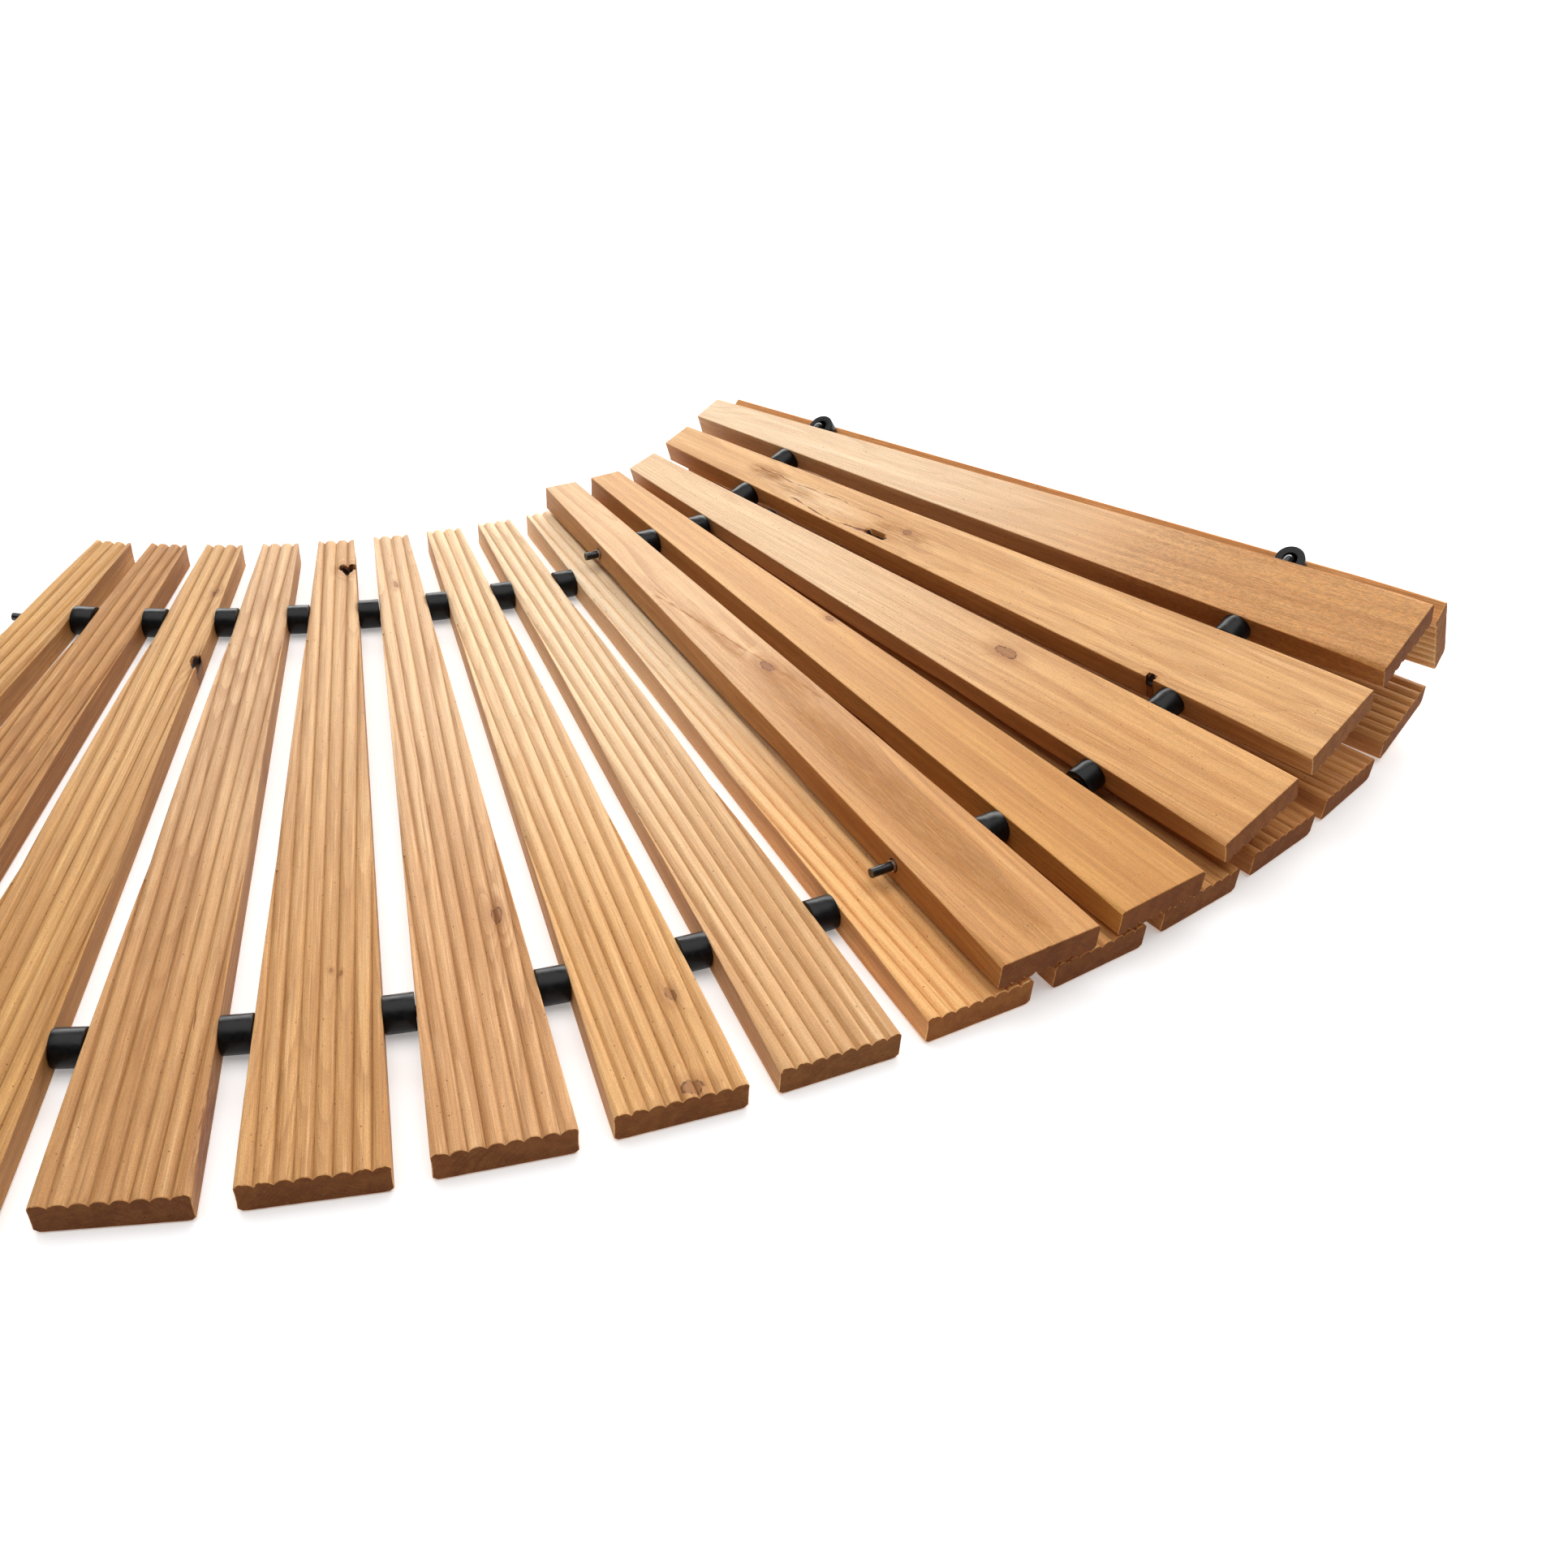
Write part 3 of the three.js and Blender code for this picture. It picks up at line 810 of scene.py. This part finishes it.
camera = bpy.data.objects.new("camera", bpy.data.cameras.new("camera"))
scene.collection.objects.link(camera)
camera.data.sensor_width = 36.0
camera.data.lens = CAMERA_LENS
camera.data.clip_start, camera.data.clip_end = 0.02, 60.0
aim(camera, CAMERA_PLACE, CAMERA_AZIMUTH, CAMERA_DOWN, CAMERA_ROLL)
scene.camera = camera

scene.view_settings.view_transform = "Standard"
world = bpy.data.worlds.new("studio")
scene.world = world
world.use_nodes = True
world.node_tree.nodes["Background"].inputs["Color"].default_value = WHITE
world.node_tree.nodes["Background"].inputs["Strength"].default_value = WORLD_STRENGTH


def softbox(name, place, azimuth, down, size, watts):
    lamp = bpy.data.objects.new(name, bpy.data.lights.new(name, "AREA"))
    lamp.data.shape = "RECTANGLE"
    lamp.data.size, lamp.data.size_y = size
    lamp.data.energy = watts
    scene.collection.objects.link(lamp)
    aim(lamp, place, azimuth, down)


softbox("overhead", (-0.25, -0.1, 3.2), azimuth=180.0, down=88.0, size=(5.0, 3.6), watts=137.0)
softbox("behind", (-0.1, 4.4, 1.85), azimuth=180.0, down=23.0, size=(9.0, 2.2), watts=434.0)

floor_mesh = bpy.data.meshes.new("floor")
corners = ((-1, -1), (1, -1), (1, 1), (-1, 1))
below = cad_low.z - FLOOR_DROP
floor_mesh.from_pydata(
    [(x * FLOOR_REACH, y * FLOOR_REACH, below) for x, y in corners], [], [(0, 1, 2, 3)],
)
floor = link("floor", floor_mesh, pale_floor())
floor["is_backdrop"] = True

# ---------------------------------------------------------------- slats
# Every slat's wood: what all share, then what the photograph shows of each one. Places of knots,
# figures, cracks and streaks are millimetres across (x) and along (y) the slat from its middle.
PLAIN = dict(tone=(1.0, 1.0, 1.0), pith=(12.0, -46.0), lean=(0.01, 0.016), ring=2.3, contrast=0.34)
SLAT_LOOKS = {
    1: dict(tone=(0.78, 0.79, 0.69), pith=(-18.0, -40.0), lean=(-0.02, 0.01)),
    2: dict(tone=(0.68, 0.64, 0.55), pith=(8.0, -60.0), contrast=0.45),
    3: dict(tone=(0.78, 0.79, 0.72), sheen_and_sapwood=0.1, pith=(30.0, -35.0), lean=(0.02, 0.02),
            knots=[dict(x=16.5, y=131, rx=3.2, ry=7, hole=True), dict(x=9, y=215, rx=2.2, ry=3)]),
    4: dict(tone=(0.77, 0.77, 0.81), sheen_and_sapwood=0.3, pith=(-24.0, -55.0), contrast=0.30, stain=0.15,
            knots=[dict(x=23.4, y=25, rx=1.6, ry=5)],
            figures=[dict(x=31, y=-236, rx=4.0, ry=50, amount=0.9, colour=KNOT_WOOD)],
            cracks=[dict(ends=((18, -190), (14, -150)), width=0.5, waver=2.0, amount=0.8)]),
    5: dict(tone=(0.83, 0.84, 0.87), sheen_and_sapwood=0.25, pith=(4.0, -38.0), lean=(0.0, 0.03),
            knots=[dict(x=5.8, y=239.5, rx=3.0, ry=3.8, hole=True),
                   dict(x=11.0, y=239.5, rx=3.0, ry=3.8, hole=True),
                   dict(x=8.4, y=236.0, rx=3.1, ry=4.2, hole=True),
                   dict(x=5.0, y=-158, rx=0.8, ry=1.6, push=0.5),
                   dict(x=9.5, y=-160, rx=0.8, ry=1.5, push=0.5)]),
    6: dict(tone=(0.90, 0.94, 1.14), sheen_and_sapwood=0.4, pith=(18.0, -30.0), lean=(0.015, 0.035),
            contrast=0.38,
            knots=[dict(x=16.6, y=-135, rx=2.6, ry=6), dict(x=-2.4, y=209, rx=1.2, ry=4)]),
    7: dict(tone=(0.97, 1.03, 1.12), sheen_and_sapwood=0.6, calm=0.2, pith=(-6.0, -44.0), ring=2.0,
            contrast=0.32,
            knots=[dict(x=14.5, y=-215, rx=2.4, ry=4.5), dict(x=6.4, y=-274, rx=5.0, ry=4.0)]),
    8: dict(tone=(0.97, 1.09, 1.38), sheen_and_sapwood=0.65, calm=0.3, pith=(20.0, -58.0), ring=2.6,
            contrast=0.28),
    # Slat 9's light tone and full paling paint light on it, against the shade that slat 20 casts.
    9: dict(tone=(1.25, 1.30, 1.40), sheen_and_sapwood=1.0, pith=(-28.0, -36.0), contrast=0.2, calm=0.4),
    10: dict(tone=(0.86, 0.80, 0.76), pith=(10.0, -48.0), contrast=0.5),
    11: dict(tone=(0.9, 0.85, 0.8), pith=(-10.0, -40.0)),
    12: dict(tone=(0.85, 0.76, 0.68), pith=(14.0, -42.0)),
    13: dict(tone=(0.88, 0.8, 0.72), pith=(-20.0, -52.0)),
    14: dict(tone=(0.86, 0.8, 0.72), pith=(16.0, -44.0)),
    # Slat 15's light tone paints light on its upward side, against the painted side shade.
    15: dict(tone=(1.05, 1.12, 1.22), pith=(6.0, -60.0)),
    16: dict(tone=(0.90, 0.79, 0.64), sheen_and_sapwood=0.85, calm=0.55, pith=(-12.0, 66.0),
             lean=(0.03, 0.01), rough=1.0),
    17: dict(tone=(1.05, 1.09, 1.20), sheen_and_sapwood=0.08, calm=0.35, pith=(8.0, 48.0),
             lean=(-0.02, 0.02), contrast=0.38,
             knots=[dict(x=11, y=62, rx=1.8, ry=9, hole=True), dict(x=-1.2, y=44, rx=2.2, ry=3.5),
                    dict(x=26.5, y=-171, rx=2.6, ry=2.6, hole=True)],
             figures=[dict(x=4, y=128, rx=13, ry=62, amount=0.4, colour=PALE_SAPWOOD_AND_SHEEN),
                      dict(x=-1, y=180, rx=9, ry=24, amount=1.0, least=0.3),
                      dict(x=4, y=148, rx=6, ry=30, amount=0.7),
                      dict(x=1, y=48, rx=10, ry=36, amount=0.75)],
             cracks=[dict(ends=((-1, 190), (-5.5, 66)), width=0.7, waver=5.0, amount=0.75),
                     dict(ends=((11, 146), (16.5, 100)), width=0.9, waver=3.0, amount=0.9),
                     dict(ends=((16.5, 106), (11, 60)), width=1.6, waver=4.0, amount=1.0)]),
    18: dict(tone=(0.98, 0.95, 0.92), sheen_and_sapwood=0.65, calm=0.6, pith=(-30.0, 60.0),
             lean=(0.02, 0.03), contrast=0.30,
             knots=[dict(x=-9, y=-86, rx=3.6, ry=8)]),
    19: dict(tone=(0.80, 0.70, 0.47), sheen_and_sapwood=0.2, calm=0.65, pith=(26.0, 52.0),
             lean=(0.02, -0.01), contrast=0.25,
             knots=[dict(x=-17, y=26, rx=2.0, ry=3.5)]),
    20: dict(tone=(0.84, 0.765, 0.65), sheen_and_sapwood=0.4, calm=0.3, pith=(-8.0, 26.0),
             lean=(0.012, 0.02), ring=3.2, contrast=0.5, stain=0.3,
             knots=[dict(x=-6.5, y=-1, rx=3.2, ry=6, push=1.8)],
             figures=[dict(x=0, y=-150, rx=20.5, ry=190, amount=1.0, least=0.65),
                      dict(x=-7, y=-18, rx=14, ry=34, amount=0.8, least=0.5),
                      dict(x=3, y=40, rx=6, ry=46, amount=0.7, least=0.4)],
             streaks=[dict(ends=((14, 108), (-5, 17)), width=1.6, waver=2.5, amount=0.85),
                      dict(ends=((-4, 24), (-19, -50)), width=1.8, waver=2.5, amount=0.8),
                      dict(ends=((11, 116), (2, 30)), width=0.8, waver=2.0, amount=0.7),
                      dict(ends=((4, -40), (-9, -190)), width=1.5, waver=4.0, amount=0.8)]),
}

drill = bpy.data.objects.new("drill", drill_mesh())
scene.collection.objects.link(drill)
for n in range(1, SLATS + 1):
    name = numbered("slat", n)
    look = {**PLAIN, **SLAT_LOOKS[n]}
    pits = [knot for knot in look.get("knots", ()) if knot.get("hole")]
    turned = n >= FIRST_TURNED_SLAT
    solid = cut(slat_mesh(name, n, pits, "under" if turned else "top"), drill)
    mark_faces(solid)
    material = wood(f"wood_{n:02d}", seed=n, turned=turned, **look)
    piece = link(f"wood_{name}", solid, material, slat_frames[n - 1])
    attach(piece, body_of_node[name])
    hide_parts(name)
bpy.data.objects.remove(drill)


# ---------------------------------------------------------------- tubes
def tube_mesh(name, length, radius, seed):
    """A cut length of tube along X, with eased rims and a slightly uneven cut."""
    bore, ease = TUBE_BORE, TUBE_RIM
    half = length / 2
    outside = [
        (half / 3, radius), (half - ease, radius),
        (half - ease * 0.3, radius - ease * 0.3), (half, radius - ease),
    ]
    inside = [
        (half, bore + ease), (half - ease * 0.3, bore + ease * 0.3),
        (half - ease, bore), (half / 3, bore),
    ]
    profile = outside + inside
    profile = profile + [(-x, r) for x, r in reversed(profile)]
    verts, faces = [], []
    for k in range(TUBE_SIDES):
        angle = 2 * math.pi * k / TUBE_SIDES
        for x, r in profile:
            rim = abs(x) / half
            place = Vector((math.cos(angle) * 1.5, math.sin(angle) * 1.5, seed + (x > 0)))
            push = TUBE_CUT_UNEVEN * noise.noise(place)
            verts.append((x + push * rim, r * math.cos(angle), r * math.sin(angle)))
    size = len(profile)
    for k in range(TUBE_SIDES):
        this, following = k * size, ((k + 1) % TUBE_SIDES) * size
        for j in range(size):
            further = (j + 1) % size
            faces.append((this + j, this + further, following + further, following + j))
    mesh = closed_mesh(name, verts, faces)
    mesh.shade_smooth()
    return mesh


def mouth(pose, y, side, beyond=0.0):
    return pose @ (Vector((side * (half_width(y) + beyond), y, 0)) * MM)


tube_black = tube_plastic()
for row in CORD_ROW:
    for n in range(1, SLATS):
        node = numbered(f"spacer_{row}", n)
        pose, length, radius = spacer_frame(node)
        seat = slat_frames[int(body_of_node[node].split("_")[1]) - 1]
        outward = pose.translation - seat.translation
        if pose.col[0].to_3d().dot(outward) < 0:
            pose = pose @ Matrix.Rotation(math.pi, 4, "Z")
        longer = 0.0 if n in RIGID_TUBE_GAPS else SPACER_REACH
        place = pose @ Matrix.Translation((longer / 2 * MM, 0, 0))
        if n == RAISED_GAP:
            place = Matrix.Translation(seat.col[2].to_3d() * RAISED_TUBE * MM) @ place
        mesh = tube_mesh(node, length / MM + longer, radius / MM, n * 1.7)
        piece = link(f"tube_{row}_{n:02d}", mesh, tube_black, place)
        if n in RIGID_TUBE_GAPS:
            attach(piece, body_of_node[node])
        else:
            # The soft tube is baked in place as it stands, on no body.
            y = CORD_ROW[row]
            leave, reach = mouth(slat_frames[n - 1], y, 1), mouth(slat_frames[n], y, -1)
            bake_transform(piece)
        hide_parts(node)


# ---------------------------------------------------------------- cords
def sweep(name, path, radius, sides=CORD_SIDES):
    """A closed tube along the path's points."""
    ahead = [(b - a).normalized() for a, b in zip(path, path[1:])]
    verts, faces = [], []
    up = Vector((0, 0, 1)) if abs(ahead[0].z) < 0.8 else Vector((1, 0, 0))
    for k, point in enumerate(path):
        before, after = ahead[max(k - 1, 0)], ahead[min(k, len(ahead) - 1)]
        along = (before + after).normalized()
        across = along.cross(up).normalized()
        up = across.cross(along).normalized()
        for s in range(sides):
            angle = 2 * math.pi * s / sides
            verts.append(point + (across * math.cos(angle) + up * math.sin(angle)) * radius)
    for k in range(len(path) - 1):
        for s in range(sides):
            t = (s + 1) % sides
            faces.append((k * sides + s, k * sides + t, (k + 1) * sides + t, (k + 1) * sides + s))
    faces.append(tuple(range(sides))[::-1])
    faces.append(tuple(range((len(path) - 1) * sides, len(path) * sides)))
    mesh = bpy.data.meshes.new(name)
    mesh.from_pydata([tuple(v) for v in verts], [], faces)
    mesh.shade_smooth()
    mesh.set_sharp_from_angle(angle=math.radians(SHARP_CORD_ANGLE))
    return mesh


def bezier(a, b, c, d, steps):
    out = []
    for k in range(steps + 1):
        t = k / steps
        s = 1 - t
        out.append(a * s**3 + b * 3 * s * s * t + c * 3 * s * t * t + d * t**3)
    return out


cord_black = cord_plastic()
crimp_steel = crimp_metal()
for row, y in CORD_ROW.items():
    for n in range(1, SLATS):
        here, there = slat_frames[n - 1], slat_frames[n]
        go, come = here.col[0].to_3d(), there.col[0].to_3d()
        leave, reach = mouth(here, y, 1), mouth(there, y, -1)
        span = (reach - leave).length
        if n in SHARP_FOLD_GAPS:
            lift = here.col[2].to_3d() * (RAISED_CORD * MM if n == RAISED_GAP else 0.0)
            start = leave + go * (span * 0.60) + lift
            middle = bezier(
                start, start + go * (span * 0.45), reach - come * (span * 0.15), reach, 14,
            )[:-1]
        else:
            middle = bezier(
                leave, leave + go * (span / 3), reach - come * (span / 3), reach, 6,
            )[1:-1]
        centre = Vector((0, y * MM, 0))
        begin, end = here @ centre, there @ centre
        path = [begin, begin.lerp(leave, 0.7), leave] + middle + [reach, end.lerp(reach, 0.7), end]
        name = f"cord_{row}_{n:02d}"
        piece = link(name, sweep(name, path, CORD_RADIUS * MM), cord_black)
        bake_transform(piece)
        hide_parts(f"cord_{row}")
    for n, side in ((1, -1), (SLATS, 1)):
        pose = slat_frames[n - 1]
        inside = pose @ Vector((0, y * MM, 0))
        tip = mouth(pose, y, side, TAIL_LENGTH[row])
        path = [inside.lerp(tip, t) for t in (0.0, 0.5, 0.8, 0.985, 1.0)]
        name = f"cord_tail_{row}_{n:02d}"
        piece = link(name, sweep(name, path, CORD_RADIUS * MM), cord_black)
        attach(piece, body_of_node[numbered("slat", n)])
        start, stop = (mouth(pose, y, side, beyond) for beyond in CRIMP_SPAN)
        name = f"crimp_{row}_{n:02d}"
        path = [start, start.lerp(stop, 0.5), stop]
        band = sweep(name, path, (CORD_RADIUS + CRIMP_WALL) * MM, CRIMP_SIDES)
        piece = link(name, band, crimp_steel)
        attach(piece, body_of_node[numbered("slat", n)])

low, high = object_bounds()
